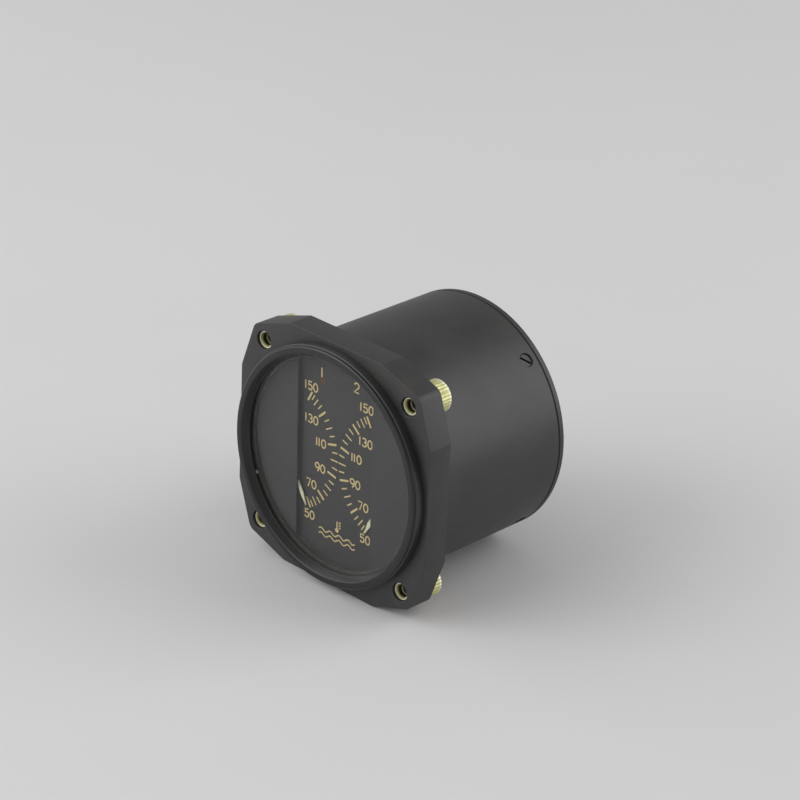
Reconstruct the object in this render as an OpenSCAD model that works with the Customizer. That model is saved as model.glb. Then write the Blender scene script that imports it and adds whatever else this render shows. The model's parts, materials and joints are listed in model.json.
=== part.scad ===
// Twin coolant temperature gauge for a standard 3 1/8 inch panel cut-out.
// Two needles swing from behind half-moon masks over one dial. The dial faces -Y, +X is to the
// right as the dial is read, +Z is up. The origin is the centre of the four panel screw holes, on
// the front face of the flange. Millimetres.

/* [Flange] */
// Width across the flats of the square flange
flange_w = 82.55; // [81.6:0.05:90]
// Thickness of the flange
flange_t = 9; // [6:0.1:14]
// Length of the flat middle of each side
flange_flat = 40; // [24:0.5:50]
// How steeply each side falls away to its corner, in degrees
corner_slope = 19; // [14:0.5:23]
// Radius at the tip of each corner
corner_r = 3; // [1:0.1:5]

/* [Panel fixing] */
// Distance between the panel screw holes, across and up
bolt_span = 62.865; // [61.5:0.005:64]
// Bore of each threaded insert
insert_bore_d = 3.5; // [2.5:0.1:4.4]
// Diameter of the shank of each insert
insert_shank_d = 5.6; // [5:0.1:6]
// Diameter of the mouth of each hole in the flange
insert_mouth_d = 6.2; // [6.2:0.1:7.4]
// Depth of the front end of each insert below the flange face
insert_sink = 0.8; // [0.3:0.1:2]
// Diameter of the knurled head behind the flange
insert_head_d = 10.5; // [8:0.1:10.6]
// Length of the knurled head
insert_head_l = 4.8; // [2:0.1:6]
// Number of teeth in the knurl
knurl_teeth = 30; // [18:1:36]

/* [Case] */
// Outside diameter of the case
case_d = 79.375; // [78.8:0.005:80.4]
// Thickness of the case wall
case_wall = 2.8; // [2:0.1:3.4]
// Length of the case from the flange face to its rear end
case_l = 61; // [58:0.5:72]
// How far the collar stands in front of the flange
collar_h = 3.5; // [2.8:0.1:5]
// Chamfer on the front edge of the collar
collar_chamfer = 0.6; // [0.1:0.05:0.6]
// Thickness of the collar round the bezel ring
collar_lip = 0.6875; // [0.65:0.0125:1.1]
// Thickness of the case round the glass and dial
stack_wall = 1.3; // [1.15:0.05:1.8]
// Depth of the dial's seat behind the flange face
shelf_depth = 4.6; // [4:0.1:5.4]
// How far the dial's seat stands in from the case bore
shelf_w = 1.7; // [1:0.1:2]
// Thickness of the dial's seat
shelf_t = 2; // [1:0.1:2.8]

/* [Bezel and glass] */
// Width of the bezel ring, from its outside to the window
bezel_w = 3.4; // [3:0.05:3.9]
// Width of the slope that leads down to the glass
bevel_w = 1.3; // [0.8:0.1:1.8]
// How far the bezel ring stands proud of the collar
ring_proud = 0.3; // [0.2:0.05:1]
// Thickness of the rubber ring in front of the glass
glass_seal_t = 0.6; // [0.4:0.1:1]
// Thickness of the glass
glass_t = 1.6; // [1.2:0.1:2]

/* [Dial and masks] */
// Thickness of the dial
dial_t = 0.8; // [0.6:0.1:1]
// Distance from the dial up to the masks
mask_gap = 1.35; // [1.3:0.05:1.9]
// Thickness of the masks
mask_t = 0.55; // [0.5:0.05:0.9]
// Distance from the masks up to the glass
glass_gap = 1.3; // [0.7:0.05:1.5]
// Distance from each pivot to the straight edge of its mask
mask_reach = 6.6; // [6:0.1:8]
// Turn of the dial, the works and the rear cover in the case, anticlockwise as the dial is read
dial_turn = 1.2; // [-3:0.1:3]
// How far the spacer ring in front of the masks stands in from the window
view_step = 1; // [0.6:0.05:1.5]

/* [Scale] */
// Distance from each needle's pivot to the edge of the dial that shows
pivot_inset = 11.6; // [11.4:0.1:11.8]
// Distance from the tips of the marks to the middle of the dial, at the level of the pivots
mark_inset = 0.25; // [0.25:0.05:1]
// Length of the marks that carry a number
long_mark = 3.75; // [3:0.05:4.5]
// Length of the marks for the tens between
mid_mark = 3; // [2.4:0.05:3.4]
// Length of the marks for the fives
short_mark = 2.25; // [1.6:0.05:2.8]
// Width of the marks that carry a number
long_mark_w = 0.65; // [0.6:0.05:1.2]
// Width of the other marks
short_mark_w = 0.4; // [0.3:0.05:0.7]
// Thickness of the paint of the marks
mark_t = 0.08; // [0.05:0.01:0.15]

/* [Needles] */
// How far each needle's tip stops short of the outer ends of the marks
needle_short = 1.15; // [0.4:0.05:2.4]
// Greatest width of the lance of the needle
lance_w = 1.5; // [0.8:0.05:2]
// Width of the stem of the needle
stem_w = 0.8; // [0.5:0.05:1]
// Thickness of the needle's blade
needle_t = 0.3; // [0.2:0.05:0.4]
// Distance from the masks back to the needles
needle_gap = 0.3; // [0.2:0.05:0.4]
// Length of the tail from the pivot
tail_l = 7.4; // [6.4:0.1:8.4]
// Diameter of the balance weight on the tail
weight_d = 3.2; // [2.4:0.1:3.4]
// Thickness of the balance weight
weight_t = 0.45; // [0.3:0.05:0.6]
// Angle of the needle below level at rest, and above level at the top of its travel
rest_angle = 62.6; // [62:0.1:66]
// Diameter of the stop pins beside each tail
stop_pin_d = 1; // [0.8:0.1:1.2]
// Distance of the stop pins from the pivot
stop_pin_r = 3.9; // [3.6:0.1:4.2]

/* [Movements] */
// Diameter of the staffs
staff_d = 1; // [0.8:0.05:1.2]
// Diameter of the rotor magnets
rotor_d = 8.8; // [7:0.1:9]
// Thickness of the rotor magnets
rotor_t = 4; // [3:0.1:4.6]
// Wall of the damping cups
cup_wall = 0.8; // [0.5:0.05:0.9]
// Air gap between rotor and damping cup
air_gap = 0.6; // [0.4:0.05:0.8]
// Outside diameter of the stator rings
stator_d = 22.4; // [22:0.1:22.4]
// Width of the stator rings
stator_rim = 1.4; // [1:0.1:1.6]
// Thickness of the stators
stator_t = 5; // [4.6:0.1:6]
// Width of the four poles of each stator
pole_w = 2.6; // [2:0.1:2.8]
// Thickness of the wire wound on each pole
winding_t = 1.3; // [0.8:0.1:1.4]
// Distance of the tie screws above and below each pivot
tie_z = 14.5; // [14.4:0.1:15]
// Diameter of the tie screws
tie_d = 2; // [1.6:0.1:2.2]
// Diameter of the spacers on the tie screws
spacer_d = 4.4; // [3.6:0.1:4.6]

/* [Frame plates] */
// Gap between the two frame plates and the rim of the dial's seat
plate_gap = 0.8; // [0.6:0.1:1.2]
// Thickness of the front plate
front_plate_t = 1.6; // [1.2:0.1:2]
// Thickness of the rear plate
rear_plate_t = 2; // [1.6:0.1:2.4]
// Distance from the dial to the front plate
dial_post_l = 3.4; // [2.8:0.1:4]
// Distance from the front plate to the stators
front_spacer_l = 7.9; // [7:0.1:9]
// Distance from the stators to the rear plate
rear_spacer_l = 8.5; // [8:0.1:9]
// Distance from the rear plate to the terminal board
board_post_l = 7; // [6:0.1:8]
// Thickness of the terminal board
board_t = 1.6; // [1.2:0.1:2]
// Gap between the terminal board and the bore of the case
board_gap = 4.8875; // [3.9:0.0125:5.9]
// Diameter of the flanges of the resistor spools
spool_d = 10; // [8:0.1:10.4]
// Length of the resistor spools
spool_l = 8; // [6:0.1:8.4]

/* [Rear cover] */
// Thickness of the rear cover at its rim
cover_t = 2.1; // [1.6:0.1:3]
// Thickness of the seal under the rear cover
cover_seal_t = 0.4; // [0.2:0.1:0.8]
// Length of the rear cover's skirt inside the case
skirt_l = 9; // [7.6:0.1:9.6]
// Thickness of the skirt
skirt_wall = 3.2; // [2.4:0.1:3.6]
// Distance from the rear end of the case to its screws
cover_screw_y = 4.4; // [3.4:0.1:5]
// Diameter of the shank of the cover screws
cover_screw_d = 2.84; // [2.4:0.02:3]
// Diameter of the heads of the cover screws
cover_head_d = 4.4; // [3.8:0.1:4.8]
// Depth of the heads of the cover screws under the skin of the case
cover_screw_sink = 0.5; // [0.1:0.05:0.7]
// Depth of the slots of the cover screws
cover_slot_l = 0.6; // [0.4:0.05:0.9]

/* [Connector] */
// Width of the square flange of the connector
socket_flange_w = 30.2; // [28:0.1:34]
// Diameter of the connector's barrel
socket_d = 22.2; // [21:0.1:24]
// Distance that the connector stands behind the rear cover
socket_l = 15.5; // [13:0.1:20]
// Bore of the connector's barrel
socket_bore_d = 18.7; // [18:0.1:19.4]
// Distance between the screws of the connector
socket_screw_span = 23; // [22.6:0.1:25]
// Diameter of the connector's pins
pin_d = 1.6; // [1.2:0.1:2]
// Distance of the outer pins from the middle one
pin_ring_r = 4.6; // [4:0.1:5.4]

/* [Hidden] */

$fn = 96;
slip = 0.05;        // gap between parts that drop into each other
snug = 0.01;        // gap between parts that are pushed together
over = 1;           // how far a cut runs past a face
sides = [-1, 1];
left = -1;
right = 1;

case_r = case_d / 2;
bore_r = case_r - case_wall;
ring_bore_r = case_r - collar_lip;
stack_bore_r = case_r - stack_wall;
stack_r = stack_bore_r - 2 * slip;
shelf_r = bore_r - shelf_w;
bolt_half = bolt_span / 2;
corners = [for (x = sides) for (z = sides) [x, z]];

dial_y = shelf_depth - dial_t;
mask_y = dial_y - mask_gap - mask_t;
glass_y = mask_y - glass_gap - glass_t;
ring_seat_y = glass_y - glass_seal_t;
window_r = ring_bore_r - bezel_w;
view_r = window_r - view_step;
pivot_x = view_r - pivot_inset;
mask_edge = pivot_x - mask_reach;
mark_r = pivot_x - mark_inset;
needle_l = mark_r - needle_short;
needle_y = mask_y + mask_t + needle_gap;
staff_front_y = needle_y - 0.1;

front_plate_y = shelf_depth + dial_post_l;
stator_y = front_plate_y + front_plate_t + front_spacer_l;
rear_plate_y = stator_y + stator_t + rear_spacer_l;
board_y = rear_plate_y + rear_plate_t + board_post_l;
cover_y = case_l + cover_seal_t;
rear_y = cover_y + cover_t;
screw_y = case_l - cover_screw_y;

cup_in_r = rotor_d / 2 + air_gap;
cup_r = cup_in_r + cup_wall;
pole_r = cup_r + snug;
stator_r = stator_d / 2;
rotor_y = stator_y + (stator_t - rotor_t) / 2;
coil_in = pole_r + 0.5;
coil_half_w = pole_w / 2 + 0.1 + winding_t;
coil_out = sqrt(pow(stator_r - stator_rim - 0.15, 2) - pow(coil_half_w, 2));
coil_rear_y = stator_y + stator_t + 0.1 + winding_t;
jewel_d = 2.4;
jewel_screw_d = 3;
jewel_screw_tail_l = 3;
locknut_d = 6;
locknut_t = 1.4;
jewel_tip_y = rear_plate_y - 1;
jewel_screw_rear_y = rear_plate_y + rear_plate_t + jewel_screw_tail_l;
jewel_cup_d = 1.7;
jewel_cup_l = 1.25;
pivot_tip_d = 0.12;
pivot_cone_l = 0.9;
end_shake = 0.05;
staff_rear_y = jewel_tip_y + jewel_cup_l * (1 - pivot_tip_d / jewel_cup_d) - end_shake;
tie_head_d = 4;
tie_head_l = 1.2;

plate_d = 2 * (shelf_r - plate_gap);
board_d = 2 * (bore_r - board_gap);
dial_post = [pivot_x + 5, 15];
dial_post_d = 4;
dial_screw_d = 1.8;
dial_head_d = 3.4;
dial_head_l = 0.9;
board_post = [12, board_d / 2 - 6];
board_post_d = 4;
board_screw_d = 2;
board_head_d = 3.8;
board_head_l = 1.2;
spool_rim_t = 0.8;
spool_at = [board_d / 2 - 13, 12];
turret_x = 6;
turret_z = 12;
turrets = [for (x = sides) for (z = sides) [turret_x * x, turret_z * z], [-turret_x, 0], [turret_x, 0]];
turret_d = 1.8;
turret_rim_d = 2.8;
turret_rim_t = 0.5;
turret_tail_l = 1.6;
turret_head_l = 3.4;
turret_front_y = board_y - turret_tail_l;
turret_rear_y = board_y + board_t + turret_head_l;
plate_window = [19, 32];
lead_d = 1;

socket_rear_y = rear_y + socket_l;
socket_flange_t = 2;
socket_screw_d = 2.4;
insert_tail_l = 6;
insert_nose_l = 5.5;
pin_tail_l = 3;
pin_nose_l = 4.8;
pin_taper = 0.5;
insert_y = rear_y - insert_tail_l;
insert_rear_y = rear_y + insert_nose_l;
pin_front_y = insert_y - pin_tail_l;
pin_rear_y = insert_rear_y + pin_nose_l;
pin_spots = concat([[0, 0]], [for (k = [0:4]) pin_ring_r * [cos(90 + 72 * k), sin(90 + 72 * k)]]);

moulding_black = "#2c2c2e";
paint_black = "#3a3a3c";
chromate = "#c9c58a";
brass = "#b59a52";
cream = "#d9cfa6";
steel = "#9a9c9e";
copper = "#b06a3c";
bakelite = "#5a3a22";
aluminium = "#b4b6b8";

// A flat sheet whose front is at y and whose outline is drawn as seen from the dial side
module sheet(y, t) translate([0, y + t, 0]) rotate([90, 0, 0]) linear_extrude(t) children();
// A round bar along Y from y to y + l, on the axis through x, z
module bar(d, y, l, x = 0, z = 0) translate([x, y, z]) rotate([-90, 0, 0]) cylinder(d = d, h = l);
// A cone along Y
module cone(d1, d2, y, l, x = 0, z = 0)
    translate([x, y, z]) rotate([-90, 0, 0]) cylinder(d1 = d1, d2 = d2, h = l);
// A turned part on the Y axis, from an outline of radius and depth
module turned(outline) rotate([-90, 0, 0]) rotate_extrude() polygon(outline);
// A flat ring between two radii
module washer(r_in, r_out, y, t)
    turned([[r_in, y], [r_out, y], [r_out, y + t], [r_in, y + t]]);
// A part that points out of the case at an angle from +X
module outward(angle, y) translate([0, y, 0]) rotate([0, -angle, 0]) rotate([0, 90, 0]) children();
// The dial, the works and the rear cover, which are turned together in the case
module turned_in_case() rotate([0, -dial_turn, 0]) children();

// A square with rounded corners
module rounded_square(w, r) {
    square([w, w - 2 * r], center = true);
    square([w - 2 * r, w], center = true);
    for (x = sides) for (z = sides) translate([x * (w / 2 - r), z * (w / 2 - r)]) circle(r);
}

function turn(p, a) = [p[0] * cos(a) - p[1] * sin(a), p[0] * sin(a) + p[1] * cos(a)];

// Outline of the flange: a square whose sides fall away to four rounded corners
tip = (flange_w / 2 + flange_flat / 2 * tan(corner_slope)) / (1 + tan(corner_slope));
tip_centre = tip - corner_r / sin(45 + corner_slope) / sqrt(2);
corner_outline = concat(
    [[flange_w / 2, flange_flat / 2]],
    [for (k = [0:6]) let (a = corner_slope + (90 - 2 * corner_slope) * k / 6)
        [tip_centre + corner_r * cos(a), tip_centre + corner_r * sin(a)]],
    [[flange_flat / 2, flange_w / 2]]);
module flange_outline()
    polygon([for (k = [0:3]) for (p = corner_outline) turn(p, 90 * k)]);

// A countersunk head, which lies under the skin of the case, and the same form cut out for it
screw_cone_l = (cover_head_d - cover_screw_d) / 2 / tan(41);
screw_rim_l = 0.15;
head_gap = 0.25;
module screw_head(extra, rim_d, rim_l) {
    top = case_r - cover_screw_sink - screw_rim_l;
    translate([0, 0, top - screw_cone_l])
        cylinder(d1 = cover_screw_d + 2 * extra, d2 = cover_head_d + 2 * extra, h = screw_cone_l);
    translate([0, 0, top]) cylinder(d = rim_d, h = rim_l);
}
screw_angles = [for (k = [0:3]) 45 + 90 * k];

module case() color(moulding_black) difference() {
    union() {
        sheet(0, flange_t) flange_outline();
        turned([[0, -collar_h], [case_r - collar_chamfer, -collar_h],
            [case_r, collar_chamfer - collar_h], [case_r, case_l], [0, case_l]]);
    }
    turned([[0, -collar_h - over], [ring_bore_r, -collar_h - over], [ring_bore_r, ring_seat_y],
        [stack_bore_r, ring_seat_y], [stack_bore_r, shelf_depth], [shelf_r, shelf_depth],
        [shelf_r, shelf_depth + shelf_t], [bore_r, shelf_depth + shelf_t + shelf_w],
        [bore_r, case_l + over], [0, case_l + over]]);
    for (c = corners) {
        bar(insert_mouth_d, -over, over + insert_sink, bolt_half * c[0], bolt_half * c[1]);
        bar(insert_shank_d, 0, flange_t + over, bolt_half * c[0], bolt_half * c[1]);
        bar(insert_head_d + 2 * slip, flange_t, insert_head_l + slip, bolt_half * c[0], bolt_half * c[1]);
    }
    turned_in_case() for (a = screw_angles) outward(a, screw_y) {
        cylinder(d = cover_screw_d + 2 * slip, h = case_r);
        screw_head(slip, cover_head_d + 2 * head_gap, screw_rim_l + cover_screw_sink + over);
    }
}

module knurl_outline()
    polygon([for (k = [0:2 * knurl_teeth - 1]) let (r = insert_head_d / 2 - (k % 2) * 0.22)
        r * [cos(180 * k / knurl_teeth), sin(180 * k / knurl_teeth)]]);

insert_rear = flange_t + insert_head_l;
head_chamfer = 0.65;
module panel_inserts() color(chromate) for (c = corners)
    translate([bolt_half * c[0], 0, bolt_half * c[1]]) difference() {
        union() {
            bar(insert_shank_d - 2 * snug, insert_sink, flange_t - insert_sink);
            intersection() {
                sheet(flange_t, insert_head_l) knurl_outline();
                turned([[0, flange_t], [insert_head_d / 2 + slip, flange_t],
                    [insert_head_d / 2 + slip, insert_rear - head_chamfer],
                    [insert_head_d / 2 + slip - head_chamfer, insert_rear], [0, insert_rear]]);
            }
        }
        bar(insert_bore_d, 0, insert_rear + over);
        cone(insert_bore_d + 0.9, insert_bore_d, insert_sink, 0.45);
    }

// A thin nose on the bezel ring hides the rubber ring from the front
nose_t = 0.15;
module bezel_ring() color(paint_black) {
    face = -collar_h - ring_proud;
    out = ring_bore_r - snug;
    nose_y = glass_y - slip;
    turned([[window_r, nose_y], [window_r + nose_t, nose_y], [window_r + nose_t, ring_seat_y],
        [out, ring_seat_y], [out, -collar_h + 0.05], [out - 0.2, -collar_h - 0.15],
        [out - 0.7, face], [window_r + bevel_w, face + 0.05],
        [window_r + bevel_w - 0.3, face + 0.35], [window_r, ring_seat_y - 0.15]]);
}

module glass_seal() color("#141414")
    washer(window_r + nose_t + slip, stack_r, ring_seat_y, glass_seal_t);

module glass() color([0.8, 0.85, 0.85, 0.25]) bar(2 * stack_r, glass_y, glass_t);

module front_spacer_ring() color(paint_black)
    washer(view_r, stack_r, mask_y - glass_gap, glass_gap);

module mask_outline(side) intersection() {
    circle(r = stack_r);
    translate([side * (mask_edge + case_r), 0]) square(2 * case_r, center = true);
}
module mask(side) color(paint_black) sheet(mask_y, mask_t) mask_outline(side);

module rear_spacer_ring() color(paint_black)
    washer(view_r + 0.2, stack_r, mask_y + mask_t, mask_gap);

// Stop pins stand where the tail meets them at each end of the needle's travel
stop_offset = asin((stem_w / 2 + stop_pin_d / 2 + slip) / stop_pin_r);
stop_angle = 180 - rest_angle - stop_offset;
stop_spots = [for (s = sides) for (z = sides)
    [s * pivot_x - s * stop_pin_r * cos(stop_angle), z * stop_pin_r * sin(stop_angle)]];

module dial() color(paint_black) sheet(dial_y, dial_t) difference() {
    circle(r = stack_r);
    for (s = sides) translate([s * pivot_x, 0]) circle(d = 4.4);
    for (c = corners) translate([dial_post[0] * c[0], dial_post[1] * c[1]])
        circle(d = dial_screw_d + 2 * slip);
    for (p = stop_spots) translate(p) circle(d = stop_pin_d);
}

// Angle of a temperature above the level line through the pivots
function mark_angle(t) = let (x = (t - 100) / 50) 71.8 * x - 10.8 * pow(abs(x), 3) * x;
function mark_len(t) = t % 20 == 10 ? long_mark : t % 10 == 0 ? mid_mark : short_mark;
function mark_w(t) = t % 20 == 10 ? long_mark_w : short_mark_w;
module scale_marks() color(cream) sheet(dial_y - mark_t, mark_t)
    for (s = sides) for (t = [50:5:150])
        translate([s * pivot_x, 0]) rotate(s == left ? mark_angle(t) : 180 - mark_angle(t))
            translate([mark_r - mark_len(t), -mark_w(t) / 2]) square([mark_len(t), mark_w(t)]);

module dial_screws() color(steel) for (c = corners)
    translate([dial_post[0] * c[0], 0, dial_post[1] * c[1]]) difference() {
        union() {
            bar(dial_head_d, dial_y - dial_head_l, dial_head_l);
            bar(dial_screw_d, dial_y, dial_t + dial_post_l);
        }
        translate([-dial_head_d, dial_y - dial_head_l - over, -0.25])
            cube([2 * dial_head_d, over + 0.4, 0.5]);
    }

module stop_pins() color(brass) for (p = stop_spots)
    bar(stop_pin_d - 2 * snug, needle_y - 0.1, shelf_depth - needle_y + 0.1, p[0], p[1]);

// Outline of a needle that points along +X, with its pivot at the origin
lance_r = needle_l - 4.1;
lance_start_r = needle_l - 8.6;
half_blade = [[-tail_l, stem_w / 2], [lance_start_r - 0.8, stem_w / 2 - 0.1],
    [lance_start_r, stem_w / 2 - 0.1], [lance_r, lance_w / 2], [needle_l, 0.08]];
module needle_outline()
    polygon(concat(half_blade,
        [for (k = [len(half_blade) - 1:-1:0]) [half_blade[k][0], -half_blade[k][1]]]));

// Where a needle's own parts stand: its pivot at x, turned to its rest angle
module at_rest(side) translate([side * pivot_x, 0, 0])
    rotate([0, side == left ? rest_angle : 180 - rest_angle, 0]) children();

hub_d = 2.6;
hub_l = 1.6;
module needle(side) color(cream) at_rest(side) difference() {
    union() {
        sheet(needle_y, needle_t) needle_outline();
        bar(hub_d, needle_y, needle_t + hub_l);
    }
    bar(staff_d + 2 * snug, needle_y - over, hub_l + 2 * over);
}

module balance_weight(side) color(brass) at_rest(side)
    bar(weight_d, needle_y + needle_t, weight_t, weight_d / 2 - tail_l, 0);

module staff(side) color(steel) {
    bar(staff_d, staff_front_y, staff_rear_y - pivot_cone_l - staff_front_y, side * pivot_x);
    cone(staff_d, pivot_tip_d, staff_rear_y - pivot_cone_l, pivot_cone_l, side * pivot_x);
}

module rotor_magnet(side) color("#6b6e72") difference() {
    bar(rotor_d, rotor_y, rotor_t, side * pivot_x);
    bar(staff_d + 2 * snug, rotor_y - over, rotor_t + 2 * over, side * pivot_x);
}

module damping_cup(side) color(copper) translate([side * pivot_x, 0, 0])
    turned([[cup_in_r, stator_y - 0.6], [cup_r, stator_y - 0.6], [cup_r, stator_y + stator_t + 0.8],
        [staff_d, stator_y + stator_t + 0.8], [staff_d, stator_y + stator_t + 0.1],
        [cup_in_r, stator_y + stator_t + 0.1]]);

module stator(side) color(steel) translate([side * pivot_x, 0, 0]) sheet(stator_y, stator_t)
    difference() {
        union() {
            difference() {
                union() {
                    circle(r = stator_r);
                    for (z = sides) translate([0, z * tie_z]) circle(d = spacer_d);
                    square([spacer_d, 2 * tie_z], center = true);
                }
                circle(r = stator_r - stator_rim);
            }
            square([2 * (stator_r - stator_rim / 2), pole_w], center = true);
            square([pole_w, 2 * (stator_r - stator_rim / 2)], center = true);
        }
        circle(r = pole_r);
        for (z = sides) translate([0, z * tie_z]) circle(d = tie_d + 2 * slip);
    }

module coils(side) color(copper) translate([side * pivot_x, stator_y + stator_t / 2, 0])
    for (a = [0:90:270]) rotate([0, a, 0]) rotate([0, 90, 0]) translate([0, 0, coil_in])
        linear_extrude(coil_out - coil_in) difference() {
            square([2 * coil_half_w, stator_t + 0.2 + 2 * winding_t], center = true);
            square([pole_w + 0.2, stator_t + 0.2], center = true);
        }

module front_jewel(side) color("#a03048") translate([side * pivot_x, 0, 0])
    washer(staff_d / 2 + 0.03, jewel_d / 2, front_plate_y, front_plate_t);

module jewel_screw(side) color(brass) difference() {
    bar(jewel_screw_d - 2 * snug, jewel_tip_y, jewel_screw_rear_y - jewel_tip_y, side * pivot_x);
    cone(jewel_cup_d, 0, jewel_tip_y, jewel_cup_l, side * pivot_x);
    translate([side * pivot_x - jewel_screw_d, jewel_screw_rear_y - 0.7, -0.3])
        cube([2 * jewel_screw_d, over, 0.6]);
}

module jewel_locknuts() color(brass) for (s = sides) difference() {
    translate([s * pivot_x, 0, 0]) sheet(rear_plate_y + rear_plate_t, locknut_t)
        circle(d = locknut_d, $fn = 6);
    bar(jewel_screw_d, rear_plate_y, jewel_screw_rear_y - rear_plate_y + over, s * pivot_x);
}

module pull_off_magnet(side) color("#4c4f54")
    translate([side * (pivot_x - 7) - 1, rear_plate_y - 4, -3]) cube([2, 4, 6]);

module dial_posts() color(brass) for (c = corners) difference() {
    union() {
        bar(dial_post_d, shelf_depth, dial_post_l, dial_post[0] * c[0], dial_post[1] * c[1]);
        bar(dial_post_d - 1.4, shelf_depth, dial_post_l + front_plate_t,
            dial_post[0] * c[0], dial_post[1] * c[1]);
    }
    bar(dial_screw_d + 2 * snug, shelf_depth - over, dial_post_l + front_plate_t + 2 * over,
        dial_post[0] * c[0], dial_post[1] * c[1]);
}

module tie_holes(d) for (s = sides) for (z = sides) translate([s * pivot_x, z * tie_z]) circle(d = d);

module front_plate() color(brass) sheet(front_plate_y, front_plate_t) difference() {
    circle(d = plate_d);
    square(plate_window, center = true);
    for (s = sides) translate([s * pivot_x, 0]) circle(d = jewel_d + 2 * snug);
    for (c = corners) translate([dial_post[0] * c[0], dial_post[1] * c[1]])
        circle(d = dial_post_d - 1.4 + 2 * snug);
    tie_holes(tie_d + 2 * slip);
}

module rear_plate() color(brass) sheet(rear_plate_y, rear_plate_t) difference() {
    circle(d = plate_d);
    square(plate_window, center = true);
    for (s = sides) translate([s * pivot_x, 0]) circle(d = jewel_screw_d);
    for (c = corners) translate([board_post[0] * c[0], board_post[1] * c[1]]) circle(d = board_screw_d);
    tie_holes(tie_d + 2 * snug);
}

module spacers(y, l) color(aluminium) for (s = sides) for (z = sides) difference() {
    bar(spacer_d, y, l, s * pivot_x, z * tie_z);
    bar(tie_d + 2 * slip, y - over, l + 2 * over, s * pivot_x, z * tie_z);
}

module tie_screws() color(steel) for (s = sides) for (z = sides)
    translate([s * pivot_x, 0, z * tie_z]) difference() {
        union() {
            bar(tie_head_d, front_plate_y - tie_head_l, tie_head_l);
            bar(tie_d, front_plate_y, rear_plate_y + rear_plate_t - front_plate_y);
        }
        translate([-tie_head_d, front_plate_y - tie_head_l - over, -0.3])
            cube([2 * tie_head_d, over + 0.5, 0.6]);
    }

module board_posts() color(aluminium) for (c = corners) difference() {
    bar(board_post_d, rear_plate_y + rear_plate_t, board_post_l, board_post[0] * c[0], board_post[1] * c[1]);
    bar(board_screw_d + 2 * slip, rear_plate_y, board_post_l + 4,
        board_post[0] * c[0], board_post[1] * c[1]);
}

module board_screws() color(steel) for (c = corners)
    translate([board_post[0] * c[0], 0, board_post[1] * c[1]]) difference() {
        union() {
            bar(board_screw_d - 2 * snug, rear_plate_y, board_y + board_t - rear_plate_y);
            bar(board_head_d, board_y + board_t, board_head_l);
        }
        translate([-board_head_d, board_y + board_t + 0.7, -0.3]) cube([2 * board_head_d, over, 0.6]);
    }

module terminal_board() color(bakelite) sheet(board_y, board_t) difference() {
    circle(d = board_d);
    for (c = corners) translate([board_post[0] * c[0], board_post[1] * c[1]])
        circle(d = board_screw_d + 2 * slip);
    for (p = turrets) translate(p) circle(d = turret_d);
}

module resistor_spools() color("#d8d2c0") for (c = corners)
    translate([spool_at[0] * c[0], 0, spool_at[1] * c[1]]) turned([[0, board_y + board_t],
        [spool_d / 2, board_y + board_t], [spool_d / 2, board_y + board_t + spool_rim_t],
        [spool_d / 4, board_y + board_t + spool_rim_t],
        [spool_d / 4, board_y + board_t + spool_l - spool_rim_t],
        [spool_d / 2, board_y + board_t + spool_l - spool_rim_t],
        [spool_d / 2, board_y + board_t + spool_l],
        [0, board_y + board_t + spool_l]]);

module resistor_windings() color(copper) for (c = corners)
    translate([spool_at[0] * c[0], 0, spool_at[1] * c[1]])
        washer(spool_d / 4 + slip, spool_d / 2 - 0.6, board_y + board_t + spool_rim_t + slip,
            spool_l - 2 * (spool_rim_t + slip));

module solder_turrets() color(brass) for (p = turrets) {
    bar(turret_d - 2 * snug, turret_front_y, turret_rear_y - turret_front_y, p[0], p[1]);
    bar(turret_rim_d, board_y + board_t, turret_rim_t, p[0], p[1]);
}

// A lead swept along its route, as one closed skin with eight sides
function unit(v) = v / norm(v);
function heading(route, i) = unit(route[min(i + 1, len(route) - 1)] - route[max(i - 1, 0)]);
function ring_at(route, i, r) = let (t = heading(route, i), u = unit(cross(t, [0.3, 0, 1])), v = cross(t, u))
    [for (k = [0:7]) route[i] + r * (cos(45 * k) * u + sin(45 * k) * v)];
module lead(route) {
    last = len(route) - 1;
    polyhedron(
        points = [for (i = [0:last]) each ring_at(route, i, lead_d / 2)],
        faces = concat([[for (k = [0:7]) k]], [[for (k = [7:-1:0]) 8 * last + k]],
            [for (i = [0:last - 1]) for (k = [0:7]) let (n = (k + 1) % 8) each [
                [8 * i + k, 8 * i + 8 + k, 8 * i + 8 + n], [8 * i + k, 8 * i + 8 + n, 8 * i + n]]]));
}

// From the rear of the inner coil of each movement, through the rear plate, to the turrets
lead_start_z = 1.2 * lead_d;
lead_straight = 1.6 * lead_d;
module coil_leads() color("#7a2f2a") for (c = corners)
    let (s = c[0], z = c[1], x = s * (pivot_x - (coil_in + coil_out) / 2))
    lead([[x, coil_rear_y, lead_start_z * z], [x, coil_rear_y + lead_straight, lead_start_z * z],
        [1.5 * turret_x * s, (coil_rear_y + rear_plate_y) / 2, turret_z / 3 * z],
        [1.1 * turret_x * s, rear_plate_y + rear_plate_t, 0.75 * turret_z * z],
        [turret_x * s, turret_front_y - lead_straight, turret_z * z],
        [turret_x * s, turret_front_y, turret_z * z]]);

// From the turrets to the solder ends of the pins
module connector_leads() color("#c8b478") for (e = [[1, 1], [3, 5], [4, 2], [5, 0], [0, 3], [2, 4]])
    let (a = turrets[e[0]], b = pin_spots[e[1]])
        lead([[a[0], turret_rear_y, a[1]], [a[0], turret_rear_y + lead_straight, a[1]],
            [b[0], pin_front_y - lead_straight, b[1]], [b[0], pin_front_y, b[1]]]);

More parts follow.
